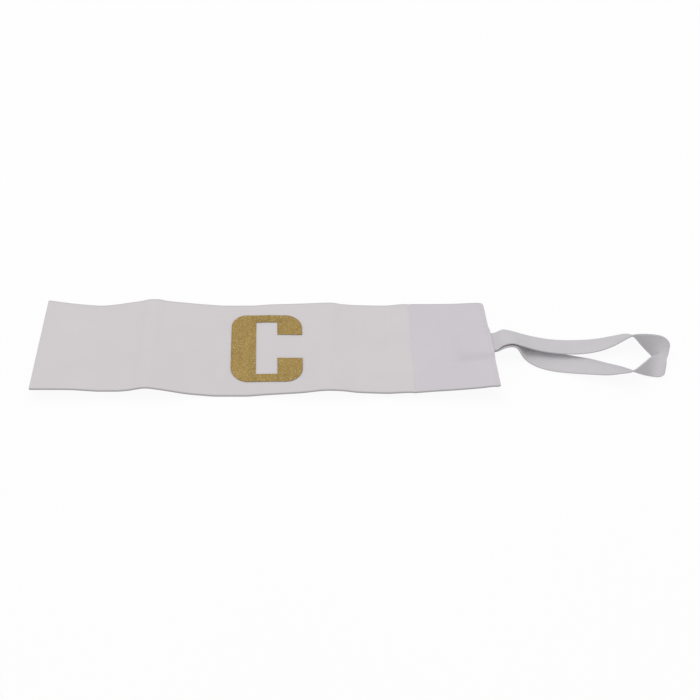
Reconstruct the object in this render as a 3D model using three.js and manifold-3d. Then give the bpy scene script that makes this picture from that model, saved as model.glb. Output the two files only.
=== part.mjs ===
// A cloth armband that lies flat: a long white band with a glitter film letter, and a narrow elastic
// whose two ends are sewn in side by side at the band's right end, so that it stands out as a loop.
// Millimetres. +X runs along the band towards the loop, +Y across it to its far edge, +Z up.
// The origin is on the table, under the middle of the whole.
import * as THREE from "three";
import { mergeVertices } from "three/addons/utils/BufferGeometryUtils.js";
import Module from "manifold-3d";

const wasm = await Module();
wasm.setup();

// Driving dimensions
const BAND_LENGTH = 280;
const BAND_WIDTH = 71.8;
const CLOTH_THICKNESS = 1.2;
const WAVE_HEIGHT = 10;
const END_SLANT = 5.2;
const FACING_LENGTH = 52.4;
const FACING_INSET = 1.5;
const LAYER_GAP = 0.3;
const ELASTIC_WIDTH = 15;
const ELASTIC_THICKNESS = 1;
const LOOP_REACH = 107.1;
const LOOP_SPREAD = 30;
const SEWN_IN = 18;
const LETTER_WIDTH = 44.1;
const LETTER_HEIGHT = 52.6;
const LETTER_STEM = 15.4;
const LETTER_BAR = 5.7;
const LETTER_UPPER_ARM = 15.8;
const LETTER_LOWER_ARM = 18.1;
const LETTER_CORNER = 10.3;
const LETTER_FROM_END = 139.4;
const FILM_THICKNESS = 0.4;

// Soft slopes, where one layer climbs over another
const FACING_SLOPE = 16;
const STRAP_SLOPE = 12;
const STRAP_SIDE_SLOPE = 7;
const STRAP_CLEARANCE = 1;

// The film is a little out of square: how far its upright and its level lines lean, as slopes.
const LETTER_LEAN = -0.041;
const LETTER_FALL = -0.06;

// The free elastic's clearance above the table
const TABLE_CLEARANCE = 0.05;

// How finely the faces are divided
const BAND_STEP = 4;
const ACROSS_STEPS = 16;
const LETTER_STEP = 3;
const STEPS_PER_STATION = 3;
const CORNER_STEPS = 6;

// The slanted cut of the strap end fades out at this share of the band's length.
const SLANT_FROM = 0.74;

const bandStart = -(BAND_LENGTH + LOOP_REACH) / 2;
const bandEnd = bandStart + BAND_LENGTH;
const facingStart = bandEnd - FACING_LENGTH;
const strapStart = bandEnd - SEWN_IN;

// The waves of the cloth's underside above the table.
// along: share of the band's length from its free end; far and near: shares of the wave height
// at the two long edges.
const WAVES = [
  { along: 0.0, far: 0.5, near: 0.66 },
  { along: 0.03, far: 0.34, near: 0.66 },
  { along: 0.057, far: 0.2, near: 0.66 },
  { along: 0.085, far: 0.08, near: 0.65 },
  { along: 0.117, far: 0.0, near: 0.57 },
  { along: 0.149, far: 0.1, near: 0.49 },
  { along: 0.184, far: 0.3, near: 0.49 },
  { along: 0.21, far: 0.45, near: 0.57 },
  { along: 0.232, far: 0.62, near: 0.73 },
  { along: 0.246, far: 0.63, near: 0.8 },
  { along: 0.27, far: 0.45, near: 0.69 },
  { along: 0.3, far: 0.32, near: 0.47 },
  { along: 0.335, far: 0.18, near: 0.22 },
  { along: 0.365, far: 0.08, near: 0.1 },
  { along: 0.397, far: 0.0, near: 0.0 },
  { along: 0.454, far: 0.0, near: 0.0 },
  { along: 0.5, far: 0.12, near: 0.13 },
  { along: 0.575, far: 0.21, near: 0.33 },
  { along: 0.637, far: 0.3, near: 0.58 },
  { along: 0.663, far: 0.14, near: 0.54 },
  { along: 0.702, far: 0.04, near: 0.36 },
  { along: 0.77, far: 0.0, near: 0.26 },
  { along: 0.816, far: 0.0, near: 0.21 },
  { along: 0.862, far: 0.0, near: 0.34 },
  { along: 0.908, far: 0.02, near: 0.48 },
  { along: 0.954, far: 0.1, near: 0.66 },
  { along: 1.0, far: 0.18, near: 0.86 },
];

// The elastic outside the band, from its upper root round the turned tip to its lower root.
// Each row is one line across the elastic. along, across and up place the end of the line that
// starts as the far edge: shares of the loop's reach, of its spread and of the elastic's width.
// x, y and z lead from there to the other edge, as shares of the elastic's width.
const LOOP = [
  { along: 0.036, across: 0.29, up: 0.6, x: -0.08, y: -0.96, z: 0.08 },
  { along: 0.088, across: 0.31, up: 0.47, x: -0.05, y: -0.94, z: 0.33 },
  { along: 0.162, across: 0.31, up: 0.25, x: -0.12, y: -0.92, z: 0.36 },
  { along: 0.246, across: 0.3, up: 0.07, x: -0.16, y: -0.91, z: 0.31 },
  { along: 0.339, across: 0.26, up: 0.01, x: -0.17, y: -0.92, z: 0.29 },
  { along: 0.468, across: 0.25, up: 0.0, x: -0.16, y: -0.94, z: 0.26 },
  { along: 0.598, across: 0.29, up: 0.0, x: -0.18, y: -0.93, z: 0.31 },
  { along: 0.7, across: 0.37, up: 0.0, x: -0.25, y: -0.9, z: 0.43 },
  { along: 0.773, across: 0.42, up: 0.0, x: -0.31, y: -0.8, z: 0.58 },
  { along: 0.817, across: 0.36, up: 0.0, x: -0.3, y: -0.6, z: 0.78 },
  { along: 0.844, across: 0.16, up: 0.0, x: -0.29, y: -0.26, z: 0.92 },
  { along: 0.871, across: -0.02, up: 0.0, x: -0.09, y: 0.08, z: 0.96 },
  { along: 0.902, across: -0.22, up: 0.0, x: 0.3, y: 0.53, z: 0.78 },
  { along: 0.927, across: -0.43, up: 0.02, x: 0.41, y: 0.89, z: 0.52 },
  { along: 0.942, across: -0.67, up: 0.07, x: 0.36, y: 1.24, z: 0.27 },
  { along: 0.915, across: -0.74, up: 0.1, x: 0.16, y: 1.1, z: 0.17 },
  { along: 0.885, across: -0.72, up: 0.03, x: -0.06, y: 0.75, z: 0.42 },
  { along: 0.837, across: -0.66, up: 0.0, x: -0.16, y: 0.05, z: 0.8 },
  { along: 0.777, across: -0.56, up: 0.0, x: -0.26, y: -0.6, z: 0.78 },
  { along: 0.713, across: -0.45, up: 0.0, x: -0.25, y: -0.79, z: 0.6 },
  { along: 0.636, across: -0.36, up: 0.0, x: -0.19, y: -0.91, z: 0.42 },
  { along: 0.549, across: -0.25, up: 0.0, x: -0.16, y: -0.97, z: 0.25 },
  { along: 0.442, across: -0.16, up: 0.0, x: -0.13, y: -0.98, z: 0.1 },
  { along: 0.323, across: -0.06, up: 0.02, x: -0.1, y: -0.99, z: -0.01 },
  { along: 0.242, across: 0.05, up: 0.04, x: -0.11, y: -0.99, z: -0.03 },
  { along: 0.183, across: 0.18, up: 0.09, x: -0.13, y: -0.97, z: 0.03 },
  { along: 0.122, across: 0.26, up: 0.25, x: -0.09, y: -0.91, z: 0.38 },
  { along: 0.063, across: 0.27, up: 0.45, x: -0.07, y: -0.95, z: 0.2 },
];

const clamp01 = (t) => Math.min(Math.max(t, 0), 1);
const mix = (a, b, t) => a + (b - a) * t;
const soft = (t) => clamp01(t) ** 2 * (3 - 2 * clamp01(t));

// The slope of one wave column at a row, level on a crest or in a trough.
function waveSlope(row, column) {
  if (row === 0 || row === WAVES.length - 1) return 0;
  const [a, b, c] = [WAVES[row - 1], WAVES[row], WAVES[row + 1]];
  const before = (b[column] - a[column]) / (b.along - a.along);
  const after = (c[column] - b[column]) / (c.along - b.along);
  return before * after <= 0 ? 0 : (2 * before * after) / (before + after);
}

// One wave column at a share of the band's length, on a smooth curve that never overshoots its rows.
function wave(share, column) {
  const along = clamp01(share);
  let row = 0;
  while (row < WAVES.length - 2 && along > WAVES[row + 1].along) row += 1;
  const [a, b] = [WAVES[row], WAVES[row + 1]];
  const span = b.along - a.along;
  const t = (along - a.along) / span;
  const level = mix(a[column], b[column], soft(t));
  const leave = waveSlope(row, column) * span * t * (1 - t) ** 2;
  const arrive = waveSlope(row + 1, column) * span * t * t * (1 - t);
  return level + leave - arrive;
}

// The place along the band of a thread that would run square across it: the strap end is cut at a slant,
// its far corner short, and the layers there follow it.
function slanted(x, y) {
  const slantStart = mix(bandStart, bandEnd, SLANT_FROM);
  const share = clamp01((x - slantStart) / (bandEnd - slantStart));
  return x - END_SLANT * share * clamp01(y / BAND_WIDTH + 0.5);
}

// Height of the lowest layer's underside above the table.
function ground(x, y) {
  const share = (x - bandStart) / BAND_LENGTH;
  const across = clamp01(y / BAND_WIDTH + 0.5);
  return WAVE_HEIGHT * mix(wave(share, "near"), wave(share, "far"), across);
}

// How far the band's underside is lifted off that ground by the facing and the two strap ends under it.
const facingLift = CLOTH_THICKNESS + LAYER_GAP;
const strapLift = 2 * (ELASTIC_THICKNESS + LAYER_GAP);
function lift(thread, y) {
  const overFacing = soft((thread - (facingStart - FACING_SLOPE)) / (FACING_SLOPE - LAYER_GAP));
  const toStrap = slanted(thread, y) - (strapStart - STRAP_SLOPE);
  const alongStrap = soft(toStrap / (STRAP_SLOPE - STRAP_CLEARANCE));
  const beside = Math.abs(y) - ELASTIC_WIDTH / 2 - STRAP_CLEARANCE;
  const acrossStrap = 1 - soft(beside / STRAP_SIDE_SLOPE);
  return overFacing * facingLift + alongStrap * acrossStrap * strapLift;
}

const facingUnderside = (thread, y) => ground(slanted(thread, y), y);
const bandUnderside = (thread, y) => facingUnderside(thread, y) + lift(thread, y);
const bandTop = (thread, y) => bandUnderside(thread, y) + CLOTH_THICKNESS;

// Evenly spaced values from one end to the other, no further apart than the step.
function spaced(from, to, step) {
  const count = Math.max(1, Math.ceil((to - from) / step));
  return Array.from({ length: count + 1 }, (_, i) => mix(from, to, i / count));
}

// A body from rings of points: neighbouring rings are joined by a wall, and the first and last are closed.
function loftedBody(rings) {
  const size = rings[0].length;
  const index = [];
  for (let ring = 0; ring < rings.length - 1; ring += 1) {
    for (let i = 0; i < size; i += 1) {
      const j = (i + 1) % size;
      const [a, b] = [ring * size + i, ring * size + j];
      index.push(a, b, b + size, a, b + size, a + size);
    }
  }
  const last = (rings.length - 1) * size;
  for (let i = 0; i < size / 2 - 1; i += 1) {
    const [a, b, c, d] = [i, i + 1, size - 2 - i, size - 1 - i];
    index.push(a, d, c, a, c, b);
    index.push(last + a, last + b, last + c, last + a, last + c, last + d);
  }
  const body = new THREE.BufferGeometry();
  body.setAttribute("position", new THREE.Float32BufferAttribute(rings.flat(2), 3));
  body.setIndex(index);
  return body;
}

// A thin sheet between two height functions, over a list of threads along and places across.
function sheet(threads, acrosses, under, over) {
  const rings = threads.map((thread) => [
    ...acrosses.map((y) => [slanted(thread, y), y, under(thread, y)]),
    ...acrosses.toReversed().map((y) => [slanted(thread, y), y, over(thread, y)]),
  ]);
  return loftedBody(rings);
}

const halfWidth = BAND_WIDTH / 2;
const bandAcross = spaced(-halfWidth, halfWidth, BAND_WIDTH / ACROSS_STEPS);

function bandPanel() {
  const level = WAVES.filter((row) => row.far === 0 && row.near === 0);
  const [levelFrom, levelTo] = level.map((row) => bandStart + row.along * BAND_LENGTH);
  const alongs = [
    ...spaced(bandStart, levelFrom, BAND_STEP),
    ...spaced(levelTo, facingStart - FACING_SLOPE, BAND_STEP),
    ...spaced(facingStart, bandEnd, BAND_STEP),
  ];
  return sheet(alongs, bandAcross, bandUnderside, bandTop);
}

function endFacing() {
  const reach = halfWidth - FACING_INSET;
  const across = spaced(-reach, reach, BAND_WIDTH / ACROSS_STEPS);
  const top = (thread, y) => facingUnderside(thread, y) + CLOTH_THICKNESS;
  return sheet(spaced(facingStart, bandEnd, BAND_STEP), across, facingUnderside, top);
}

// The letter's outline: a block C with round outer corners and square inner ones.
function letterOutline() {
  const [right, top] = [LETTER_WIDTH / 2, LETTER_HEIGHT / 2];
  const inner = LETTER_STEM - right;
  const armStart = right - LETTER_STEM;
  const corner = LETTER_CORNER;
  const shape = new THREE.Shape();
  shape.moveTo(right, top - LETTER_UPPER_ARM);
  shape.lineTo(right, top - corner);
  shape.absarc(right - corner, top - corner, corner, 0, Math.PI / 2, false);
  shape.absarc(corner - right, top - corner, corner, Math.PI / 2, Math.PI, false);
  shape.absarc(corner - right, corner - top, corner, Math.PI, 1.5 * Math.PI, false);
  shape.absarc(right - corner, corner - top, corner, 1.5 * Math.PI, 2 * Math.PI, false);
  shape.lineTo(right, LETTER_LOWER_ARM - top);
  shape.lineTo(armStart, LETTER_LOWER_ARM - top);
  shape.lineTo(armStart, LETTER_BAR - top);
  shape.lineTo(inner, LETTER_BAR - top);
  shape.lineTo(inner, top - LETTER_BAR);
  shape.lineTo(armStart, top - LETTER_BAR);
  shape.lineTo(armStart, top - LETTER_UPPER_ARM);
  return shape;
}

function solidOf(geometry) {
  const bare = geometry.clone();
  bare.deleteAttribute("normal");
  bare.deleteAttribute("uv");
  const merged = mergeVertices(bare);
  return new wasm.Manifold(
    new wasm.Mesh({
      numProp: 3,
      vertProperties: merged.attributes.position.array,
      triVerts: new Uint32Array(merged.index.array),
    }),
  );
}

function geometryOf(solid) {
  const mesh = solid.getMesh();
  const geometry = new THREE.BufferGeometry();
  geometry.setAttribute("position", new THREE.Float32BufferAttribute(mesh.vertProperties, 3));
  geometry.setIndex(Array.from(mesh.triVerts));
  return geometry;
}

// The film lies on the cloth's waves: a thin sheet that follows them, cut by the letter's outline.
function letterFilm() {
  const middle = bandStart + LETTER_FROM_END;
  const [reachX, reachY] = [LETTER_WIDTH / 2 + LETTER_STEP, LETTER_HEIGHT / 2 + LETTER_STEP];
  const under = (x, y) => bandTop(x, y) + LAYER_GAP;
  const over = (x, y) => under(x, y) + FILM_THICKNESS;
  const film = sheet(
    spaced(middle - reachX, middle + reachX, LETTER_STEP),
    [-reachY, reachY],
    under,
    over,
  );
  const depth = 2 * (WAVE_HEIGHT + CLOTH_THICKNESS) + facingLift + strapLift;
  const prism = new THREE.ExtrudeGeometry(letterOutline(), {
    depth,
    bevelEnabled: false,
    curveSegments: CORNER_STEPS,
  });
  prism.applyMatrix4(new THREE.Matrix4().makeShear(LETTER_FALL, 0, LETTER_LEAN, 0, 0, 0));
  prism.translate(middle, 0, 0);
  return geometryOf(solidOf(film).intersect(solidOf(prism)));
}

// One line across the elastic where it lies between the layers, as its far and near ends.
function sewnStation(x, layersBelow) {
  const above = facingLift + ELASTIC_THICKNESS / 2 + layersBelow * (ELASTIC_THICKNESS + LAYER_GAP);
  const edge = (y) => new THREE.Vector3(x, y, ground(x, y) + above);
  return { start: edge(ELASTIC_WIDTH / 2), end: edge(-ELASTIC_WIDTH / 2) };
}

// One line across the elastic where it is free.
function freeStation(row) {
  const start = new THREE.Vector3(
    bandEnd + row.along * LOOP_REACH,
    row.across * LOOP_SPREAD,
    row.up * ELASTIC_WIDTH + ELASTIC_THICKNESS / 2 + TABLE_CLEARANCE,
  );
  const end = new THREE.Vector3(row.x, row.y, row.z).multiplyScalar(ELASTIC_WIDTH).add(start);
  return { start, end };
}

// The elastic: one flat strip through all its lines, with a smooth curve along each edge.
function elasticLoop() {
  const sewn = spaced(strapStart, bandEnd, SEWN_IN / 3);
  const stations = [
    ...sewn.map((x) => sewnStation(x, 1)),
    ...LOOP.map(freeStation),
    ...sewn.toReversed().map((x) => sewnStation(x, 0)),
  ];
  const startEdge = new THREE.CatmullRomCurve3(stations.map((s) => s.start));
  const endEdge = new THREE.CatmullRomCurve3(stations.map((s) => s.end));
  const steps = (stations.length - 1) * STEPS_PER_STATION;
  const nudge = 0.25 / steps;
  const rings = [];
  for (let step = 0; step <= steps; step += 1) {
    const t = step / steps;
    const [before, after] = [Math.max(t - nudge, 0), Math.min(t + nudge, 1)];
    const [a, b] = [startEdge.getPoint(t), endEdge.getPoint(t)];
    const across = b.clone().sub(a);
    const wayA = startEdge.getPoint(after).sub(startEdge.getPoint(before));
    const wayB = endEdge.getPoint(after).sub(endEdge.getPoint(before));
    const line = [0, 0.5, 1].map((share) => {
      const way = wayA.clone().lerp(wayB, share);
      const up = across.clone().cross(way).setLength(ELASTIC_THICKNESS / 2);
      return { place: a.clone().lerp(b, share), up };
    });
    rings.push([
      ...line.map(({ place, up }) => place.clone().add(up).toArray()),
      ...line.toReversed().map(({ place, up }) => place.clone().sub(up).toArray()),
    ]);
  }
  return loftedBody(rings);
}

const CLOTH = new THREE.MeshStandardMaterial({ color: 0xcfcbcd, roughness: 0.9, metalness: 0 });
const ELASTIC = new THREE.MeshStandardMaterial({ color: 0xc8c6c9, roughness: 0.85, metalness: 0 });
const FILM = new THREE.MeshStandardMaterial({ color: 0xa2883f, roughness: 0.45, metalness: 0.6 });

function piece(name, geometry, material) {
  const mesh = new THREE.Mesh(geometry, material);
  mesh.name = name;
  return mesh;
}

const armband = new THREE.Group();
armband.name = "captain_armband";
armband.add(piece("band_panel", bandPanel(), CLOTH));
armband.add(piece("end_facing", endFacing(), CLOTH));
armband.add(piece("elastic_loop", elasticLoop(), ELASTIC));
armband.add(piece("letter_c", letterFilm(), FILM));

export default armband;
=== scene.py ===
import logging
import math
from collections.abc import Callable, Mapping, Sequence
from dataclasses import dataclass, field
from enum import Enum
from typing import NamedTuple

import bmesh
import bpy
import numpy as np
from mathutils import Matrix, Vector


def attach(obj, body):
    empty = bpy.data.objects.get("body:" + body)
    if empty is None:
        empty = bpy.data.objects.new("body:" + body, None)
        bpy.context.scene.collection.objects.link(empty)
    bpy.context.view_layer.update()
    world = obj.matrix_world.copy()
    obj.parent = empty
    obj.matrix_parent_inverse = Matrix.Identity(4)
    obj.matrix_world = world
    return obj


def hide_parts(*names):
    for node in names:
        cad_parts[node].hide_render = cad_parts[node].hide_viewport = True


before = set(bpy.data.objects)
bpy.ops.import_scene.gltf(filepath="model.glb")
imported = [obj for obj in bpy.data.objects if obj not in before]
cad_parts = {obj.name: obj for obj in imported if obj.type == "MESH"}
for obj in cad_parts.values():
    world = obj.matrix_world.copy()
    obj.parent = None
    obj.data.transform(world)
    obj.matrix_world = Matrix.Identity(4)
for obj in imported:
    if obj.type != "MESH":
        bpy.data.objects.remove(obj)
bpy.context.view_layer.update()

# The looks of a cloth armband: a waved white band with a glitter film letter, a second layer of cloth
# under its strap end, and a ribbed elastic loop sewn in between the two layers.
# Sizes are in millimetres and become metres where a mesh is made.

log = logging.getLogger("armband")

MM = 0.001
UV_SCALE = 0.01
UV_LAYER = "cloth"
# Grid lines of a rounded rim, as shares of its width.
RIM_LINES = (0.0, 0.04, 0.14, 0.3, 0.52, 0.78)
# Points of a sheet that lie closer than this are joined, in millimetres.
SAME_POINT = 0.002
Colour = tuple[float, float, float, float]
NodeInputs = Mapping[str | int, object]
Surface = Callable[[np.ndarray, np.ndarray], np.ndarray]
WHITE: Colour = (1.0, 1.0, 1.0, 1.0)


class Piece(Enum):
    """Names of the pieces that this script makes."""

    BAND = "band_cloth"
    FACING = "facing_cloth"
    ELASTIC = "elastic_strap"
    LETTER = "letter_film"
    STITCHES = "seam_stitches"
    FLOOR = "floor"


class WaveRow(NamedTuple):
    """Height of both long edges at one place: shares of the band's length and of the wave height."""

    along: float
    far: float
    near: float


class LoopRow(NamedTuple):
    """One line across the elastic: where it starts, and the way to its other edge, as shares."""

    along: float
    across: float
    up: float
    x: float
    y: float
    z: float


WAVES: tuple[WaveRow, ...] = (
    WaveRow(0.0, 0.5, 0.66),
    WaveRow(0.03, 0.34, 0.66),
    WaveRow(0.057, 0.2, 0.66),
    WaveRow(0.085, 0.08, 0.65),
    WaveRow(0.117, 0.0, 0.57),
    WaveRow(0.149, 0.1, 0.49),
    WaveRow(0.184, 0.3, 0.49),
    WaveRow(0.21, 0.45, 0.57),
    WaveRow(0.232, 0.62, 0.73),
    WaveRow(0.246, 0.63, 0.8),
    WaveRow(0.27, 0.45, 0.69),
    WaveRow(0.3, 0.32, 0.47),
    WaveRow(0.335, 0.18, 0.22),
    WaveRow(0.365, 0.08, 0.1),
    WaveRow(0.397, 0.0, 0.0),
    WaveRow(0.454, 0.0, 0.0),
    WaveRow(0.5, 0.12, 0.13),
    WaveRow(0.575, 0.21, 0.33),
    WaveRow(0.637, 0.3, 0.58),
    WaveRow(0.663, 0.14, 0.54),
    WaveRow(0.702, 0.04, 0.36),
    WaveRow(0.77, 0.0, 0.26),
    WaveRow(0.816, 0.0, 0.21),
    WaveRow(0.862, 0.0, 0.34),
    WaveRow(0.908, 0.02, 0.48),
    WaveRow(0.954, 0.1, 0.66),
    WaveRow(1.0, 0.18, 0.86),
)

LOOP: tuple[LoopRow, ...] = (
    LoopRow(0.036, 0.29, 0.6, -0.08, -0.96, 0.08),
    LoopRow(0.088, 0.31, 0.47, -0.05, -0.94, 0.33),
    LoopRow(0.162, 0.31, 0.25, -0.12, -0.92, 0.36),
    LoopRow(0.246, 0.3, 0.07, -0.16, -0.91, 0.31),
    LoopRow(0.339, 0.26, 0.01, -0.17, -0.92, 0.29),
    LoopRow(0.468, 0.25, 0.0, -0.16, -0.94, 0.26),
    LoopRow(0.598, 0.29, 0.0, -0.18, -0.93, 0.31),
    LoopRow(0.7, 0.37, 0.0, -0.25, -0.9, 0.43),
    LoopRow(0.773, 0.42, 0.0, -0.31, -0.8, 0.58),
    LoopRow(0.817, 0.36, 0.0, -0.3, -0.6, 0.78),
    LoopRow(0.844, 0.16, 0.0, -0.29, -0.26, 0.92),
    LoopRow(0.871, -0.02, 0.0, -0.09, 0.08, 0.96),
    LoopRow(0.902, -0.22, 0.0, 0.3, 0.53, 0.78),
    LoopRow(0.927, -0.43, 0.02, 0.41, 0.89, 0.52),
    LoopRow(0.942, -0.67, 0.07, 0.36, 1.24, 0.27),
    LoopRow(0.915, -0.74, 0.1, 0.16, 1.1, 0.17),
    LoopRow(0.885, -0.72, 0.03, -0.06, 0.75, 0.42),
    LoopRow(0.837, -0.66, 0.0, -0.16, 0.05, 0.8),
    LoopRow(0.777, -0.56, 0.0, -0.26, -0.6, 0.78),
    LoopRow(0.713, -0.45, 0.0, -0.25, -0.79, 0.6),
    LoopRow(0.636, -0.36, 0.0, -0.19, -0.91, 0.42),
    LoopRow(0.549, -0.25, 0.0, -0.16, -0.97, 0.25),
    LoopRow(0.442, -0.16, 0.0, -0.13, -0.98, 0.1),
    LoopRow(0.323, -0.06, 0.02, -0.1, -0.99, -0.01),
    LoopRow(0.242, 0.05, 0.04, -0.11, -0.99, -0.03),
    LoopRow(0.183, 0.18, 0.09, -0.13, -0.97, 0.03),
    LoopRow(0.122, 0.26, 0.25, -0.09, -0.91, 0.38),
    LoopRow(0.063, 0.27, 0.45, -0.07, -0.95, 0.2),
)


@dataclass(frozen=True)
class Sizes:
    """The armband's sizes in millimetres, as in the solid model."""

    band_length: float = 280.0
    band_width: float = 71.8
    cloth: float = 1.2
    wave_height: float = 10.0
    end_slant: float = 5.2
    slant_from: float = 0.74
    facing_length: float = 52.4
    facing_inset: float = 1.5
    facing_slope: float = 16.0
    layer_gap: float = 0.3
    elastic_width: float = 15.0
    elastic: float = 1.0
    loop_reach: float = 107.1
    loop_spread: float = 30.0
    sewn_in: float = 18.0
    strap_slope: float = 12.0
    strap_side_slope: float = 7.0
    strap_clearance: float = 1.0
    table_clearance: float = 0.05
    letter_width: float = 44.1
    letter_height: float = 52.6
    letter_stem: float = 15.4
    letter_bar: float = 5.7
    letter_upper_arm: float = 15.8
    letter_lower_arm: float = 18.1
    letter_corner: float = 10.3
    letter_lean: float = -0.041
    letter_from_end: float = 139.4
    letter_fall: float = -0.06
    film: float = 0.4

    @property
    def start(self) -> float:
        """Place of the band's free end.

        Returns:
            X of the free end.
        """
        return -(self.band_length + self.loop_reach) / 2

    @property
    def end(self) -> float:
        """Place of the band's strap end.

        Returns:
            X of the strap end at the near edge.
        """
        return self.start + self.band_length

    @property
    def facing_start(self) -> float:
        """Place where the second layer of cloth begins.

        Returns:
            X of the facing's edge.
        """
        return self.end - self.facing_length

    @property
    def strap_start(self) -> float:
        """Place of the elastic's hidden ends.

        Returns:
            X of the sewn ends.
        """
        return self.end - self.sewn_in


def soft(t: np.ndarray) -> np.ndarray:
    """Ease from 0 to 1.

    Args:
        t: Any values; below 0 and above 1 they are cut off.

    Returns:
        The eased values.
    """
    share = np.clip(t, 0.0, 1.0)
    return share * share * (3.0 - 2.0 * share)


@dataclass(frozen=True)
class Lie:
    """How the layers of cloth lie above the table."""

    sizes: Sizes

    def wave(self, share: np.ndarray, edge: str) -> np.ndarray:
        """Height of one long edge, as a share of the wave height.

        Args:
            share: Places along the band as shares of its length.
            edge: The column of the wave table, far or near.

        Returns:
            One share of the wave height for each place.
        """
        places = np.array([row.along for row in WAVES])
        levels = np.array([getattr(row, edge) for row in WAVES])
        spans = np.diff(places)
        rises = np.diff(levels) / spans
        slopes = np.zeros(len(places))
        product = rises[:-1] * rises[1:]
        total = np.where(product > 0, rises[:-1] + rises[1:], 1.0)
        slopes[1:-1] = np.where(product > 0, 2.0 * product / total, 0.0)
        along = np.clip(share, 0.0, 1.0)
        row = np.clip(np.searchsorted(places, along, side="left") - 1, 0, len(spans) - 1)
        span = spans[row]
        t = (along - places[row]) / span
        level = levels[row] + (levels[row + 1] - levels[row]) * soft(t)
        leave = slopes[row] * span * t * (1 - t) ** 2
        arrive = slopes[row + 1] * span * t * t * (1 - t)
        return level + leave - arrive

    def slanted(self, thread: np.ndarray, y: np.ndarray) -> np.ndarray:
        """Place along the band of a thread, once the slanted cut has moved it.

        Args:
            thread: X that the thread would have with a square end.
            y: Place across the band.

        Returns:
            The thread's X.
        """
        s = self.sizes
        begin = s.start + s.slant_from * s.band_length
        share = np.clip((thread - begin) / (s.end - begin), 0.0, 1.0)
        return thread - s.end_slant * share * np.clip(y / s.band_width + 0.5, 0.0, 1.0)

    def ground(self, x: np.ndarray, y: np.ndarray) -> np.ndarray:
        """Height of the lowest layer's underside.

        Args:
            x: Place along the band.
            y: Place across it.

        Returns:
            Heights above the table.
        """
        s = self.sizes
        share = (x - s.start) / s.band_length
        across = np.clip(y / s.band_width + 0.5, 0.0, 1.0)
        near, far = self.wave(share, "near"), self.wave(share, "far")
        return s.wave_height * (near + (far - near) * across)

    @property
    def facing_lift(self) -> float:
        """Lift of what lies on the facing.

        Returns:
            Millimetres.
        """
        return self.sizes.cloth + self.sizes.layer_gap

    def lift(self, thread: np.ndarray, y: np.ndarray) -> np.ndarray:
        """Lift of the band by the facing and the two elastic ends under it.

        Args:
            thread: The thread's unslanted X.
            y: Place across the band.

        Returns:
            Millimetres above the ground height.
        """
        s = self.sizes
        over_facing = soft((thread - (s.facing_start - s.facing_slope)) / (s.facing_slope - s.layer_gap))
        to_strap = self.slanted(thread, y) - (s.strap_start - s.strap_slope)
        along_strap = soft(to_strap / (s.strap_slope - s.strap_clearance))
        beside = np.abs(y) - s.elastic_width / 2 - s.strap_clearance
        across_strap = 1.0 - soft(beside / s.strap_side_slope)
        strap_lift = 2.0 * (s.elastic + s.layer_gap)
        return over_facing * self.facing_lift + along_strap * across_strap * strap_lift

    def facing(self, thread: np.ndarray, y: np.ndarray) -> np.ndarray:
        """Underside of the second layer.

        Args:
            thread: The thread's unslanted X.
            y: Place across the band.

        Returns:
            Heights above the table.
        """
        return self.ground(self.slanted(thread, y), y)

    def band(self, thread: np.ndarray, y: np.ndarray) -> np.ndarray:
        """Underside of the band.

        Args:
            thread: The thread's unslanted X.
            y: Place across the band.

        Returns:
            Heights above the table.
        """
        return self.facing(thread, y) + self.lift(thread, y)


# Places of the share and the two colours among a Mix node's inputs, and of its colour output.
MIX_INPUTS = (0, 6, 7)
MIX_OUTPUT = 2


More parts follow.
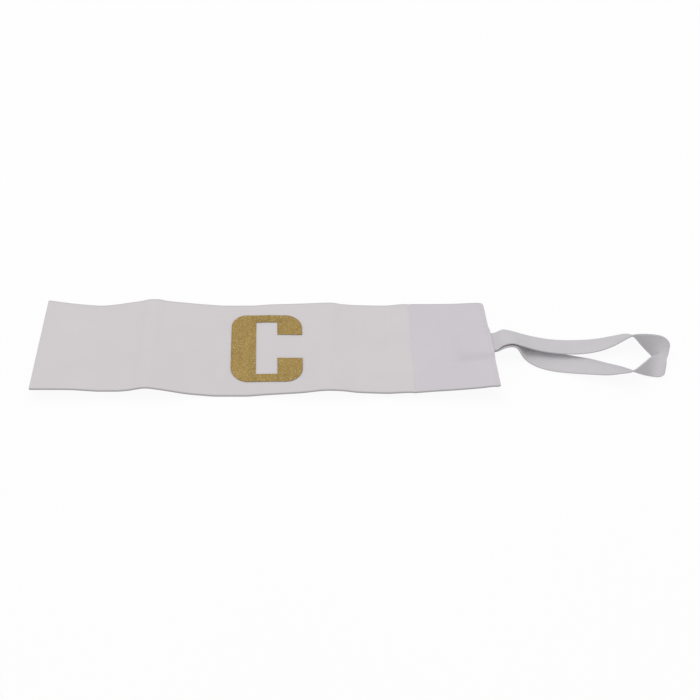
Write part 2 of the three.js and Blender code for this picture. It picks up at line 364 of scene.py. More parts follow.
class Graph:
    """Adds nodes to one node tree and wires them."""

    def __init__(self, tree: bpy.types.NodeTree) -> None:
        """Keep the tree.

        Args:
            tree: The tree that nodes are added to.
        """
        self.tree = tree

    def feed(self, node: bpy.types.Node, inputs: NodeInputs) -> None:
        """Link or set a node's inputs.

        Args:
            node: The node.
            inputs: For each input, by name or place, a socket to link or a value to set.
        """
        for key, value in inputs.items():
            if isinstance(value, bpy.types.NodeSocket):
                self.tree.links.new(value, node.inputs[key])
            else:
                node.inputs[key].default_value = value

    def add(self, kind: str, inputs: NodeInputs | None = None, **settings: object) -> bpy.types.Node:
        """Add one node.

        Args:
            kind: The node's type name.
            inputs: For each input, by name or place, a socket to link or a value to set.
            settings: Attributes of the node.

        Returns:
            The new node.
        """
        node = self.tree.nodes.new(kind)
        for name, value in settings.items():
            setattr(node, name, value)
        self.feed(node, inputs or {})
        return node

    def math(self, operation: str, *values: object) -> bpy.types.NodeSocket:
        """Add a Math node.

        Args:
            operation: Its operation.
            values: Its inputs, sockets or numbers.

        Returns:
            Its result.
        """
        return self.add("ShaderNodeMath", dict(enumerate(values)), operation=operation).outputs[0]

    def weigh(self, *parts: tuple[object, object]) -> bpy.types.NodeSocket:
        """Add up values, each times its weight.

        Args:
            parts: Each value with its weight.

        Returns:
            The sum.
        """
        total = self.math("MULTIPLY", *parts[0])
        for value, weight in parts[1:]:
            total = self.math("ADD", total, self.math("MULTIPLY", value, weight))
        return total

    def threads(self, place: bpy.types.NodeSocket) -> bpy.types.NodeSocket:
        """Lay rounded threads side by side, one for each whole step of a value.

        Args:
            place: The value, in threads.

        Returns:
            0 between two threads and 1 on top of each.
        """
        return self.math("ABSOLUTE", self.math("SINE", self.math("MULTIPLY", place, math.pi)))

    def vector(self, operation: str, *values: object) -> bpy.types.NodeSocket:
        """Add a Vector Math node.

        Args:
            operation: Its operation.
            values: Its inputs, sockets or vectors.

        Returns:
            Its vector result.
        """
        return self.add("ShaderNodeVectorMath", dict(enumerate(values)), operation=operation).outputs[0]

    def scaled(self, vector: bpy.types.NodeSocket, factor: object) -> bpy.types.NodeSocket:
        """Scale a vector.

        Args:
            vector: The vector.
            factor: A socket or a number.

        Returns:
            The scaled vector.
        """
        return self.add("ShaderNodeVectorMath", {0: vector, "Scale": factor}, operation="SCALE").outputs[0]

    def mix(self, share: object, first: object, second: object) -> bpy.types.NodeSocket:
        """Mix two colours.

        Args:
            share: How much of the second colour there is.
            first: The colour at share 0.
            second: The colour at share 1.

        Returns:
            The mixed colour.
        """
        inputs = dict(zip(MIX_INPUTS, (share, first, second)))
        return self.add("ShaderNodeMix", inputs, data_type="RGBA").outputs[MIX_OUTPUT]

    def smooth(self, value: bpy.types.NodeSocket, first: object, last: object) -> bpy.types.NodeSocket:
        """Ease from 0 to 1 between two values.

        Args:
            value: What is compared.
            first: Where the result is 0.
            last: Where it is 1.

        Returns:
            The eased share.
        """
        limits = {"Value": value, "From Min": first, "From Max": last}
        return self.add("ShaderNodeMapRange", limits, interpolation_type="SMOOTHSTEP").outputs[0]

    def noise(self, vector: bpy.types.NodeSocket, scale: float, detail: float = 2.0) -> bpy.types.NodeSocket:
        """Add noise.

        Args:
            vector: Where it is read.
            scale: Its scale, per unit of the vector.
            detail: Its octaves.

        Returns:
            A value around one half.
        """
        node = self.add("ShaderNodeTexNoise", {"Vector": vector, "Scale": scale, "Detail": detail})
        return node.outputs[0]


def shader_group(
    name: str, inputs: Sequence[tuple[str, str]], outputs: Sequence[tuple[str, str]]
) -> tuple[bpy.types.NodeTree, Graph, bpy.types.Node, bpy.types.Node]:
    """Start a shader node group.

    Args:
        name: The group's name.
        inputs: Name and socket type of each input.
        outputs: Name and socket type of each output.

    Returns:
        The group, its graph, its input node and its output node.
    """
    group = bpy.data.node_groups.new(name, "ShaderNodeTree")
    for label, kind in inputs:
        group.interface.new_socket(name=label, in_out="INPUT", socket_type=kind)
    for label, kind in outputs:
        group.interface.new_socket(name=label, in_out="OUTPUT", socket_type=kind)
    graph = Graph(group)
    return group, graph, graph.add("NodeGroupInput"), graph.add("NodeGroupOutput")


FLOAT, COLOUR, VECTOR = "NodeSocketFloat", "NodeSocketColor", "NodeSocketVector"
# Millimetres along the band over which the tint of the doubled cloth sets in.
DOUBLED_RAMP = 5.5
NOISE_MIDDLE = 0.5
EVERY_OTHER = 2.0


def base_material(name: str) -> tuple[bpy.types.Material, Graph, bpy.types.Node]:
    """Start a node material.

    Args:
        name: The material's name.

    Returns:
        The material, its graph and its Principled BSDF.
    """
    material = bpy.data.materials.new(name)
    material.use_nodes = True
    shader = material.node_tree.nodes["Principled BSDF"]
    return material, Graph(material.node_tree), shader


def place_in_mm(graph: Graph, from_uv: bool) -> bpy.types.NodeSocket:
    """Read a place on the piece in millimetres.

    Args:
        graph: The material's graph.
        from_uv: True for the piece's own cloth map, False for object coordinates.

    Returns:
        The place.
    """
    if from_uv:
        return graph.scaled(graph.add("ShaderNodeUVMap", uv_map=UV_LAYER).outputs[0], 1.0 / UV_SCALE)
    return graph.scaled(graph.add("ShaderNodeTexCoord").outputs["Object"], 1.0 / MM)


def cover(g: Graph, shader: bpy.types.Node, group: bpy.types.Node, relief: float, depth: float) -> None:
    """Wire a group of threads to a shader.

    Args:
        g: The material's graph.
        shader: Its Principled BSDF.
        group: The group, with colour, height and roughness.
        relief: Strength of its bumps.
        depth: Their depth in metres.
    """
    bump = g.add("ShaderNodeBump", {"Strength": relief, "Distance": depth, "Height": group.outputs["Height"]})
    looks = {"Base Color": group.outputs["Colour"], "Roughness": group.outputs["Roughness"]}
    g.feed(shader, looks | {"Normal": bump.outputs[0]})


@dataclass(frozen=True)
class PlainWeave:
    """The plain weave that the cloths share: scales per millimetre, and the share of each effect."""

    fuzz_scale: float = 2.4
    cloud_scale: float = 0.035
    octaves: float = 3.0
    streak_scale: tuple[float, float, float] = (0.02, 1.1, 1.0)
    thread_relief: float = 0.75
    fuzz_relief: float = 0.5
    # Painted shade: weight by which the colour darkens where the threads dip.
    painted_thread_shade: float = 0.45
    cloud_shade: float = 0.55
    streak_shade: float = 0.35
    roughness: float = 0.8
    roughness_spread: float = 0.18

    def group(self) -> bpy.types.NodeTree:
        """Make the weave's node group.

        Returns:
            A group that turns a place in millimetres into colour, height and roughness.
        """
        inputs = [("Place", VECTOR), ("Pitch", FLOAT), ("Light", COLOUR), ("Dark", COLOUR)]
        inputs += [("Half Width", FLOAT), ("Rim", FLOAT), ("Painted Edge Shade", COLOUR)]
        inputs += [("Doubled From", FLOAT), ("Doubled Tint", COLOUR)]
        outputs = [("Colour", COLOUR), ("Height", FLOAT), ("Roughness", FLOAT)]
        group, g, source, sink = shader_group("PlainWeave", inputs, outputs)
        given = source.outputs
        parts = g.add("ShaderNodeSeparateXYZ", {0: given["Place"]})
        along, across = parts.outputs[0], parts.outputs[1]
        u = g.math("DIVIDE", along, given["Pitch"])
        v = g.math("DIVIDE", across, given["Pitch"])
        cell = g.math("ADD", g.math("FLOOR", u), g.math("FLOOR", v))
        over = g.math("FLOORED_MODULO", cell, EVERY_OTHER)
        under = g.math("SUBTRACT", 1.0, over)
        height = g.weigh((g.threads(u), over), (g.threads(v), under))
        fuzz = g.noise(given["Place"], self.fuzz_scale, self.octaves)
        bumps = g.weigh((height, self.thread_relief), (fuzz, self.fuzz_relief))
        cloudy = g.noise(given["Place"], self.cloud_scale, self.octaves)
        stretched = g.vector("MULTIPLY", given["Place"], self.streak_scale)
        streaks = g.math("SUBTRACT", g.noise(stretched, 1.0), NOISE_MIDDLE)
        # Painted shade from the thread height, mixed with the cloth's random cloudy and streaky tone.
        tone_and_painted_shade = g.weigh((height, self.painted_thread_shade), (cloudy, self.cloud_shade), (streaks, self.streak_shade))
        colour = g.mix(tone_and_painted_shade, given["Dark"], given["Light"])
        ramp = g.smooth(g.math("SUBTRACT", along, given["Doubled From"]), 0.0, DOUBLED_RAMP)
        colour = g.vector("MULTIPLY", colour, g.mix(ramp, WHITE, given["Doubled Tint"]))
        # Painted shade: the colour darkens towards both long edges, standing in for the shade on the cut side
        # and under the edge.
        inside = g.math("SUBTRACT", given["Half Width"], g.math("ABSOLUTE", across))
        colour = g.mix(g.smooth(inside, given["Rim"], 0.0), colour, given["Painted Edge Shade"])
        rough = g.math("ADD", self.roughness, g.math("MULTIPLY", fuzz, self.roughness_spread))
        g.feed(sink, {"Colour": colour, "Height": bumps, "Roughness": rough})
        return group


@dataclass(frozen=True)
class ClothFinish:
    """Matt woven cloth."""

    name: str
    light: Colour
    dark: Colour
    half_width: float
    doubled_from: float
    doubled_tint: Colour = (0.95, 0.944, 0.978, 1.0)
    # Width at both long edges over which the painted edge shade sets in.
    rim: float = 1.3
    painted_edge_shade: Colour = (0.5, 0.475, 0.49, 1.0)
    pitch: float = 0.42
    relief: float = 0.22
    depth: float = 0.00006
    sheen: float = 0.12
    specular: float = 0.25

    def make(self, weave: bpy.types.NodeTree) -> bpy.types.Material:
        """Make the material.

        Args:
            weave: The shared weave group.

        Returns:
            The cloth's material.
        """
        material, g, shader = base_material(self.name)
        inputs = {"Place": place_in_mm(g, True), "Pitch": self.pitch, "Light": self.light, "Dark": self.dark}
        inputs |= {"Half Width": self.half_width, "Rim": self.rim, "Painted Edge Shade": self.painted_edge_shade}
        inputs |= {"Doubled From": self.doubled_from, "Doubled Tint": self.doubled_tint}
        group = g.add("ShaderNodeGroup", inputs, node_tree=weave)
        cover(g, shader, group, self.relief, self.depth)
        g.feed(shader, {"Sheen Weight": self.sheen, "Specular IOR Level": self.specular})
        return material


@dataclass(frozen=True)
class ElasticFinish:
    """Braided elastic with lengthwise ribs and cross threads."""

    name: str = "elastic_braid"
    light: Colour = (0.75, 0.73, 0.755, 1.0)
    dark: Colour = (0.59, 0.572, 0.598, 1.0)
    rib: float = 1.15
    thread: float = 0.7
    rib_flatness: float = 0.6
    thread_shift: float = 0.5
    rib_relief: float = 0.65
    thread_relief: float = 0.35
    cloud_scale: float = 0.12
    # Painted shade: weight by which the colour darkens in the grooves between ribs and threads.
    painted_groove_shade: float = 0.6
    cloud_shade: float = 0.4
    relief: float = 0.35
    depth: float = 0.00012
    roughness: float = 0.7
    roughness_spread: float = 0.2
    sheen: float = 0.08
    specular: float = 0.3

    def group(self) -> bpy.types.NodeTree:
        """Make the braid's node group.

        Returns:
            A group that turns a place in millimetres into colour, height and roughness.
        """
        inputs = [("Place", VECTOR), ("Rib", FLOAT), ("Thread", FLOAT), ("Light", COLOUR), ("Dark", COLOUR)]
        outputs = [("Colour", COLOUR), ("Height", FLOAT), ("Roughness", FLOAT)]
        group, g, source, sink = shader_group("BraidedElastic", inputs, outputs)
        given = source.outputs
        parts = g.add("ShaderNodeSeparateXYZ", {0: given["Place"]})
        across = g.math("DIVIDE", parts.outputs[1], given["Rib"])
        along = g.math("DIVIDE", parts.outputs[0], given["Thread"])
        rib = g.math("POWER", g.threads(across), self.rib_flatness)
        odd = g.math("FLOORED_MODULO", g.math("FLOOR", across), EVERY_OTHER)
        thread = g.threads(g.math("ADD", along, g.math("MULTIPLY", odd, self.thread_shift)))
        crossed = g.math("MULTIPLY", thread, rib)
        height = g.weigh((rib, self.rib_relief), (crossed, self.thread_relief))
        cloudy = g.noise(given["Place"], self.cloud_scale)
        # Painted shade from the rib and thread height, mixed with random cloudy tone.
        tone_and_painted_shade = g.weigh((height, self.painted_groove_shade), (cloudy, self.cloud_shade))
        colour = g.mix(tone_and_painted_shade, given["Dark"], given["Light"])
        rough = g.math("ADD", self.roughness, g.math("MULTIPLY", cloudy, self.roughness_spread))
        g.feed(sink, {"Colour": colour, "Height": height, "Roughness": rough})
        return group

    def make(self) -> bpy.types.Material:
        """Make the material.

        Returns:
            The elastic's material.
        """
        material, g, shader = base_material(self.name)
        inputs = {"Place": place_in_mm(g, True), "Rib": self.rib, "Thread": self.thread}
        inputs |= {"Light": self.light, "Dark": self.dark}
        group = g.add("ShaderNodeGroup", inputs, node_tree=self.group())
        cover(g, shader, group, self.relief, self.depth)
        g.feed(shader, {"Sheen Weight": self.sheen, "Specular IOR Level": self.specular})
        return material


@dataclass(frozen=True)
class GlitterFinish:
    """Gold and brown glitter film, with flakes that lean in all directions and a few flakes painted bright as
    glints.
    """

    name: str = "glitter_film"
    flake: float = 0.3
    tilt: float = 0.34
    dark: Colour = (0.222, 0.136, 0.034, 1.0)
    gold: Colour = (0.455, 0.317, 0.098, 1.0)
    painted_glint: Colour = (0.74, 0.6, 0.31, 1.0)
    painted_glint_above: float = 0.93
    cloud_scale: float = 0.11
    octaves: float = 3.0
    flake_shade: float = 0.6
    cloud_shade: float = 0.4
    roughness: float = 0.28
    roughness_spread: float = 0.3
    metal: float = 0.65

    def group(self) -> bpy.types.NodeTree:
        """Make the flakes' node group.

        Returns:
            A group that turns a place in millimetres into colour, roughness and normal.
        """
        inputs = [("Place", VECTOR), ("Flake", FLOAT), ("Tilt", FLOAT)]
        inputs += [("Dark", COLOUR), ("Gold", COLOUR), ("Bright", COLOUR)]
        outputs = [("Colour", COLOUR), ("Roughness", FLOAT), ("Normal", VECTOR)]
        group, g, source, sink = shader_group("GlitterFlakes", inputs, outputs)
        given = source.outputs
        size = g.math("DIVIDE", 1.0, given["Flake"])
        cells = g.add("ShaderNodeTexVoronoi", {"Vector": given["Place"], "Scale": size}).outputs["Color"]
        chance = g.add("ShaderNodeSeparateColor", {0: cells})
        dull, sparkle = chance.outputs[0], chance.outputs[1]
        cloudy = g.noise(given["Place"], self.cloud_scale, self.octaves)
        share = g.weigh((dull, self.flake_shade), (cloudy, self.cloud_shade))
        base = g.mix(share, given["Dark"], given["Gold"])
        # Painted glints: flakes whose random value passes the limit take a bright colour, standing in for
        # flakes that catch the light.
        colour = g.mix(g.math("GREATER_THAN", sparkle, self.painted_glint_above), base, given["Bright"])
        rough = g.math("ADD", self.roughness, g.math("MULTIPLY", dull, self.roughness_spread))
        lean = g.vector("SUBTRACT", cells, (NOISE_MIDDLE, NOISE_MIDDLE, NOISE_MIDDLE))
        flat = g.add("ShaderNodeNewGeometry").outputs["Normal"]
        normal = g.vector("NORMALIZE", g.vector("ADD", flat, g.scaled(lean, given["Tilt"])))
        g.feed(sink, {"Colour": colour, "Roughness": rough, "Normal": normal})
        return group

    def make(self) -> bpy.types.Material:
        """Make the material.

        Returns:
            The film's material.
        """
        material, g, shader = base_material(self.name)
        inputs = {"Place": place_in_mm(g, False), "Flake": self.flake, "Tilt": self.tilt}
        inputs |= {"Dark": self.dark, "Gold": self.gold, "Bright": self.painted_glint}
        group = g.add("ShaderNodeGroup", inputs, node_tree=self.group())
        looks = {"Base Color": group.outputs["Colour"], "Roughness": group.outputs["Roughness"]}
        g.feed(shader, looks | {"Normal": group.outputs["Normal"], "Metallic": self.metal})
        return material


@dataclass(frozen=True)
class ThreadFinish:
    """White sewing thread with a fine twist."""

    name: str = "sewing_thread"
    light: Colour = (0.82, 0.8, 0.82, 1.0)
    dark: Colour = (0.6, 0.58, 0.6, 1.0)
    twist: float = 3.2
    roughness: float = 0.62

    def make(self) -> bpy.types.Material:
        """Make the material.

        Returns:
            The thread's material.
        """
        material, g, shader = base_material(self.name)
        place = place_in_mm(g, False)
        # Painted shade: diagonal twist bands darken the thread in the grooves between its plies.
        wave = g.add("ShaderNodeTexWave", {"Vector": place, "Scale": self.twist}, bands_direction="DIAGONAL")
        colour = g.mix(wave.outputs["Fac"], self.dark, self.light)
        g.feed(shader, {"Base Color": colour, "Roughness": self.roughness})
        return material


@dataclass(frozen=True)
class FloorFinish:
    """The plain pale surface under the armband."""

    name: str = "pale_table"
    colour: Colour = (0.9, 0.9, 0.9, 1.0)
    glow: float = 1.0
    dust_scale: float = 6.0
    dust_dark: Colour = (0.1, 0.1, 0.1, 1.0)
    dust_light: Colour = (0.11, 0.11, 0.11, 1.0)

    def make(self) -> bpy.types.Material:
        """Make the material.

        Returns:
            The floor's material.
        """
        material, g, shader = base_material(self.name)
        dusty = g.noise(g.add("ShaderNodeTexCoord").outputs["Object"], self.dust_scale)
        g.feed(shader, {"Base Color": g.mix(dusty, self.dust_dark, self.dust_light), "Roughness": 1.0})
        g.feed(shader, {"Specular IOR Level": 0.0, "Emission Color": self.colour})
        g.feed(shader, {"Emission Strength": self.glow})
        return material


def border_lines(low: float, high: float, step: float, rim: float) -> np.ndarray:
    """Places for grid lines, close together at both borders.

    Args:
        low: The first border.
        high: The second border.
        step: Distance between lines away from the borders.
        rim: Width of the rounded rim.

    Returns:
        The places, from low to high.
    """
    rims = np.array(RIM_LINES) * rim
    inner = np.linspace(low + rim, high - rim, max(2, math.ceil((high - low - 2 * rim) / step) + 1))
    return np.concatenate([low + rims, inner, (high - rims)[::-1]])


def rim_share(lines: np.ndarray, rim: float) -> np.ndarray:
    """Share of the full thickness at each grid line.

    Args:
        lines: Places of the grid lines.
        rim: Width of the rounded rim.

    Returns:
        From 0 at a border to 1 inside the rim.
    """
    inside = np.minimum(lines - lines[0], lines[-1] - lines) / rim
    away = 1.0 - np.clip(inside, 0.0, 1.0)
    return np.sqrt(np.clip(1.0 - away * away, 0.0, 1.0))


def round_corners(
    lines: np.ndarray, places: np.ndarray, radii: Mapping[tuple[int, int], float]
) -> tuple[np.ndarray, np.ndarray]:
    """Lay a grid over a flat cloth and draw it in at the corners, so that they are round.

    Args:
        lines: Places of the grid lines along the cloth.
        places: Places of the grid lines across it.
        radii: Each corner's radius, by the index of the end and of the side that meet there.

    Returns:
        The place along and the place across of each point.
    """
    line, place = np.meshgrid(lines, places, indexing="ij")
    along, across = line.copy(), place.copy()
    for (end, side), radius in radii.items():
        u = np.clip(1.0 - np.abs(line - lines[end]) / radius, 0.0, 1.0)
        v = np.clip(1.0 - np.abs(place - places[side]) / radius, 0.0, 1.0)
        along += np.sign(line.mean() - lines[end]) * radius * u * (1.0 - np.sqrt(1.0 - v * v / 2))
        across += np.sign(place.mean() - places[side]) * radius * v * (1.0 - np.sqrt(1.0 - u * u / 2))
    return along, across


def sheet_object(
    piece: Piece, middle: np.ndarray, offset: np.ndarray, cloth_map: np.ndarray
) -> bpy.types.Object:
    """Make a closed sheet from a grid of its middle surface.

    Args:
        piece: The piece's name.
        middle: Grid of points in millimetres, rows by columns by 3.
        offset: The way from the middle to the upper side at each point, nothing at the borders.
        cloth_map: Grid of places on the flat cloth in millimetres, rows by columns by 2.

    Returns:
        The new object, with its own cloth map.
    """
    rows, columns = middle.shape[:2]
    points = np.concatenate([(middle + offset).reshape(-1, 3), (middle - offset).reshape(-1, 3)]) * MM
    first = (np.arange(rows - 1)[:, None] * columns + np.arange(columns - 1)[None, :]).ravel()
    upper = np.stack([first, first + columns, first + columns + 1, first + 1], axis=1)
    lower = upper[:, ::-1] + rows * columns
    mesh = bpy.data.meshes.new(piece.value)
    mesh.from_pydata(points.tolist(), [], np.concatenate([upper, lower]).tolist())
    layer = mesh.uv_layers.new(name=UV_LAYER)
    corner = np.empty(len(mesh.loops), dtype=np.int32)
    mesh.loops.foreach_get("vertex_index", corner)
    flat = np.concatenate([cloth_map.reshape(-1, 2)] * 2) * UV_SCALE
    layer.data.foreach_set("uv", flat[corner].ravel())
    work = bmesh.new()
    work.from_mesh(mesh)
    bmesh.ops.remove_doubles(work, verts=work.verts, dist=SAME_POINT * MM)
    bmesh.ops.recalc_face_normals(work, faces=work.faces)
    work.to_mesh(mesh)
    work.free()
    mesh.shade_smooth()
    made = bpy.data.objects.new(piece.value, mesh)
    bpy.context.scene.collection.objects.link(made)
    return made


def hold(piece: bpy.types.Object, material: bpy.types.Material, node: str | None) -> None:
    """Give a piece its material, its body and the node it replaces.

    Args:
        piece: The piece.
        material: Its material.
        node: The solid that it replaces, if any.
    """
    if not piece.data.materials:
        piece.data.materials.append(material)
    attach(piece, "root")
    if node:
        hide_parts(node)


@dataclass(frozen=True)
class Creases:
    """Slight unevenness of cloth that has been folded and smoothed out, in millimetres and radians."""

    line_height: float = 0.05
    line_step: float = 9.1
    line_bend: float = 0.9
    bend_step: float = 19.0
    fade_step: float = 23.0
    fade_start: float = 1.3
    dip_height: float = 0.06
    dip_step: float = 15.7
    dip_slant: float = 31.0
    dip_start: float = 2.1
    cross_step: float = 12.3
    cross_slant: float = 47.0

    def height(self, thread: np.ndarray, y: np.ndarray) -> np.ndarray:
        """How far the creases lift or lower the cloth.

        Args:
            thread: The thread's unslanted X.
            y: Place across the band.

        Returns:
            Millimetres up or down.
        """
        bent = thread / self.line_step + self.line_bend * np.sin(y / self.bend_step)
        lines = np.sin(bent) * np.sin(y / self.fade_step + self.fade_start)
        slanted = thread / self.dip_step - y / self.dip_slant + self.dip_start
        dips = np.sin(slanted) * np.sin(y / self.cross_step + thread / self.cross_slant)
        return self.line_height * lines + self.dip_height * dips


@dataclass
class Cloths:
    """The band and the second layer under its strap end."""

    sizes: Sizes
    lie: Lie
    creases: Creases = Creases()
    step_along: float = 1.1
    step_across: float = 1.3
    rim: float = 0.75
    corner: float = 1.0
    worn_corner: float = 3.0
    seam_depth: float = 0.32
    seam_width: float = 1.3
    pucker: float = 0.09
    pucker_reach: float = 3.0
    pucker_drift: float = 0.6
    drift_step: float = 7.0
    stitch_pitch: float = 2.6
    seam_inset: float = 2.2
    band_light: Colour = (0.785, 0.75, 0.765, 1.0)
    band_dark: Colour = (0.7, 0.664, 0.68, 1.0)
    facing_pitch: float = 0.5
    made: dict[Piece, bpy.types.Object] = field(default_factory=dict)

    def seam_relief(self, thread: np.ndarray, y: np.ndarray) -> np.ndarray:
        """How the seams draw the band's upper side in.

        Args:
            thread: The thread's unslanted X.
            y: Place across the band.

        Returns:
            Millimetres up from the smooth surface, or down as negative numbers.
        """
        s = self.sizes
        total = np.zeros(np.broadcast(thread, y).shape)
        for seam in (s.facing_start + self.seam_inset, s.end - self.seam_inset):
            away = (thread - seam) / self.seam_width
            groove = np.exp(-away * away)
            wide = np.exp(-((away / self.pucker_reach) ** 2))
            gather = np.cos(math.pi * y / self.stitch_pitch + self.pucker_drift * np.sin(y / self.drift_step))
            total = total - self.seam_depth * groove + self.pucker * wide * gather / 2
        return total

    def underside(self, thread: np.ndarray, y: np.ndarray) -> np.ndarray:
        """Underside of the band with its seams and creases.

        Args:
            thread: The thread's unslanted X.
            y: Place across the band.

        Returns:
            Heights above the table.
        """
        return self.lie.band(thread, y) + self.seam_relief(thread, y) + self.creases.height(thread, y)

    def build(self, weave: bpy.types.NodeTree) -> None:
        """Build both cloths.

        Args:
            weave: The shared weave group.
        """
        s = self.sizes
        inner_half = s.band_width / 2 - s.facing_inset
        self.made[Piece.BAND] = self.layer(Piece.BAND, s.start, s.band_width / 2, self.underside)
        self.made[Piece.FACING] = self.layer(Piece.FACING, s.facing_start, inner_half, self.lie.facing)
        doubled = s.facing_start + self.seam_inset - DOUBLED_RAMP / 2
        colours = (self.band_light, self.band_dark)
        white = ClothFinish("band_weave", *colours, s.band_width / 2, doubled)
        inner = ClothFinish("facing_weave", *colours, inner_half, s.end, pitch=self.facing_pitch)
        hold(self.made[Piece.BAND], white.make(weave), "band_panel")
        hold(self.made[Piece.FACING], inner.make(weave), "end_facing")

    def layer(self, piece: Piece, begin: float, half_width: float, underside: Surface) -> bpy.types.Object:
        """Build one layer of cloth with soft rims.

        Args:
            piece: The piece's name.
            begin: The first thread.
            half_width: Half of its width.
            underside: Height of its underside.

        Returns:
            The layer.
        """
        s = self.sizes
        threads = border_lines(begin, s.end, self.step_along, self.rim)
        places = border_lines(-half_width, half_width, self.step_across, self.rim)
        radii = {(0, 0): self.corner, (0, -1): self.corner, (-1, 0): self.corner, (-1, -1): self.worn_corner}
        thread, y = round_corners(threads, places, radii)
        low = underside(thread, y)
        x = self.lie.slanted(thread, y)
        middle = np.stack([x, y, np.maximum(low, 0.0) + s.cloth / 2], axis=2)
        half = s.cloth / 2 * rim_share(threads, self.rim)[:, None] * rim_share(places, self.rim)[None, :]
        offset = np.zeros_like(middle)
        offset[:, :, 2] = half
        return sheet_object(piece, middle, offset, np.stack([thread, y], axis=2))


@dataclass
class Elastic:
    """The elastic loop with its two sewn ends."""

    sizes: Sizes
    lie: Lie
    step_along: float = 0.8
    step_across: float = 0.7
    rim: float = 0.5
    samples: int = 2400
    ease: float = 1.3
    ease_reach: float = 3.0
    hidden_lines: int = 4
    shortest_knot: float = 0.0001
    length: float = 0.0
    made: bpy.types.Object | None = None

    def sewn(self, x: float, layers: int) -> tuple[np.ndarray, np.ndarray]:
        """One line across the elastic between the cloths.

        Args:
            x: Its place along the band.
            layers: How many layers of elastic lie below it.

        Returns:
            Its two ends.
        """
        s = self.sizes
        above = self.lie.facing_lift + s.elastic / 2 + layers * (s.elastic + s.layer_gap)
        sides = np.array([s.elastic_width / 2, -s.elastic_width / 2])
        places = np.full_like(sides, x)
        ends = np.stack([places, sides, self.lie.ground(places, sides) + above], axis=1)
        return ends[0], ends[1]

    def free(self, row: LoopRow) -> tuple[np.ndarray, np.ndarray]:
        """One line across the elastic outside the band.

        Args:
            row: Its row of the loop table.

        Returns:
            Its two ends.
        """
        s = self.sizes
        begin = np.array(
            [
                s.end + row.along * s.loop_reach,
                row.across * s.loop_spread,
                row.up * s.elastic_width + s.elastic / 2 + s.table_clearance,
            ]
        )
        return begin, begin + np.array([row.x, row.y, row.z]) * s.elastic_width

    def edges(self) -> tuple[np.ndarray, np.ndarray]:
        """Both edges of the elastic, evenly sampled along its length.

        Returns:
            Two lists of points of the same length.
        """
        s = self.sizes
        hidden = np.linspace(s.strap_start, s.end, self.hidden_lines)
        stations = [self.sewn(float(x), 1) for x in hidden]
        stations += [self.free(row) for row in LOOP]
        stations += [self.sewn(float(x), 0) for x in hidden[::-1]]
        curves = [self.curve(np.array([station[side] for station in stations])) for side in (0, 1)]
        centre = (curves[0] + curves[1]) / 2
        run = np.concatenate([[0.0], np.cumsum(np.linalg.norm(np.diff(centre, axis=0), axis=1))])
        self.length = float(run[-1])
        even = np.linspace(0.0, self.length, math.ceil(self.length / self.step_along) + 1)
        eased = []
        for curve in curves:
            spread = np.stack([np.interp(even, run, column) for column in curve.T], axis=1)
            eased.append(self.eased(spread, self.ease / self.step_along))
        return eased[0], eased[1]

    def curve(self, points: np.ndarray) -> np.ndarray:
        """A smooth curve through points, with knots spaced by the root of their distance.

        Args:
            points: The points that it passes.

        Returns:
            Dense points on the curve.
        """
        first, last = 2 * points[0] - points[1], 2 * points[-1] - points[-2]
        ends = np.concatenate([[first], points, [last]])
        apart = np.linalg.norm(np.diff(ends, axis=0), axis=1)
        knots = np.sqrt(np.maximum(apart, self.shortest_knot))
        spans = len(points) - 1
        steps = np.linspace(0.0, spans, self.samples)
        row = np.minimum(steps.astype(int), spans - 1)
        t = (steps - row)[:, None]
        p0, p1, p2, p3 = (ends[row + k] for k in range(4))
        d0, d1, d2 = (knots[row + k][:, None] for k in range(3))
        leave = ((p1 - p0) / d0 - (p2 - p0) / (d0 + d1) + (p2 - p1) / d1) * d1
        arrive = ((p2 - p1) / d1 - (p3 - p1) / (d1 + d2) + (p3 - p2) / d2) * d1
        square, cube = t * t, t * t * t
        rising = 2 * p1 - 2 * p2 + leave + arrive
        falling = -3 * p1 + 3 * p2 - 2 * leave - arrive
        return p1 + leave * t + falling * square + rising * cube

    def eased(self, points: np.ndarray, width: float) -> np.ndarray:
        """Smooth a curve a little.

        Args:
            points: Its points, evenly spaced.
            width: Width of the smoothing, in points.

        Returns:
            The smoothed points, with both ends kept.
        """
        reach = math.ceil(self.ease_reach * width)
        weights = np.exp(-0.5 * (np.arange(-reach, reach + 1) / width) ** 2)
        weights /= weights.sum()
        start = 2 * points[0] - points[reach:0:-1]
        finish = 2 * points[-1] - points[-2 : -reach - 2 : -1]
        padded = np.concatenate([start, points, finish])
        return np.stack([np.convolve(padded[:, axis], weights, "valid") for axis in range(3)], axis=1)

    def build(self) -> None:
        """Build the elastic and give it its finish."""
        s = self.sizes
        near, far = self.edges()
        places = border_lines(0.0, s.elastic_width, self.step_across, self.rim)
        share = (places / s.elastic_width)[None, :, None]
        middle = near[:, None, :] * (1 - share) + far[:, None, :] * share
        way = np.gradient(middle, axis=0)
        across = np.broadcast_to((far - near)[:, None, :], middle.shape)
        normal = np.cross(across, way)
        normal /= np.linalg.norm(normal, axis=2, keepdims=True)
        ends = np.linspace(0.0, self.length, len(near))
        tip = np.sqrt(np.clip(np.minimum(ends, self.length - ends) / self.rim, 0.0, 1.0))
        half = s.elastic / 2 * rim_share(places, self.rim)[None, :] * tip[:, None]
        run, over = np.meshgrid(ends, places, indexing="ij")
        cloth_map = np.stack([run, over], axis=2)
        self.made = sheet_object(Piece.ELASTIC, middle, normal * half[:, :, None], cloth_map)
        hold(self.made, ElasticFinish().make(), "elastic_loop")


